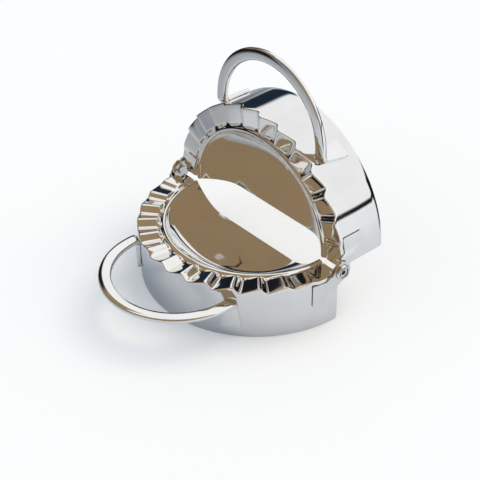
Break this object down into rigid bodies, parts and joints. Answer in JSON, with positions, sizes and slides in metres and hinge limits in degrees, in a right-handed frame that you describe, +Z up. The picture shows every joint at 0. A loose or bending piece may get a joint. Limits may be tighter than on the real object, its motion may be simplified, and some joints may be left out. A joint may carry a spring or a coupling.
{
  "type": "empanada press",
  "caption": "Folding press that cuts, fills and crimps half-moon dough pockets: hinged halves of polished sheet steel with ribbed edges, shallow bowls and loop handles",
  "frame": {"origin": "middle of the base of the box around the part at rest, on the surface that the lower skirt's rim stands on", "axes": "+X along the hinge line, to the right of a cook who faces the handle; -Y towards the lower handle; +Z up, the way the upper half stands"},
  "size_m": [0.1282, 0.1226, 0.1225],
  "materials": {
    "plate_steel": "polished stainless steel",
    "skirt_steel": "polished stainless steel",
    "handle_steel": "polished stainless steel",
    "hinge_steel": "polished stainless steel",
    "rivet_steel": "polished stainless steel"
  },
  "bodies": {
    "lower_half": {"lower_skirt": "skirt_steel", "lower_crimp_plate": "plate_steel", "lower_handle": "handle_steel", "lower_hinge_plate_left": "hinge_steel", "lower_hinge_plate_right": "hinge_steel", "rivet_left": "rivet_steel", "rivet_right": "rivet_steel"},
    "upper_half": {"upper_skirt": "skirt_steel", "upper_crimp_plate": "plate_steel", "upper_handle": "handle_steel", "upper_hinge_plate_left": "hinge_steel", "upper_hinge_plate_right": "hinge_steel"}
  },
  "joints": [
    {"name": "fold", "type": "hinge", "parent": "lower_half", "child": "upper_half", "pos_m": [0, 0.03125, 0.03], "axis": [1, 0, 0], "range_deg": [-90, 90]}
  ]
}
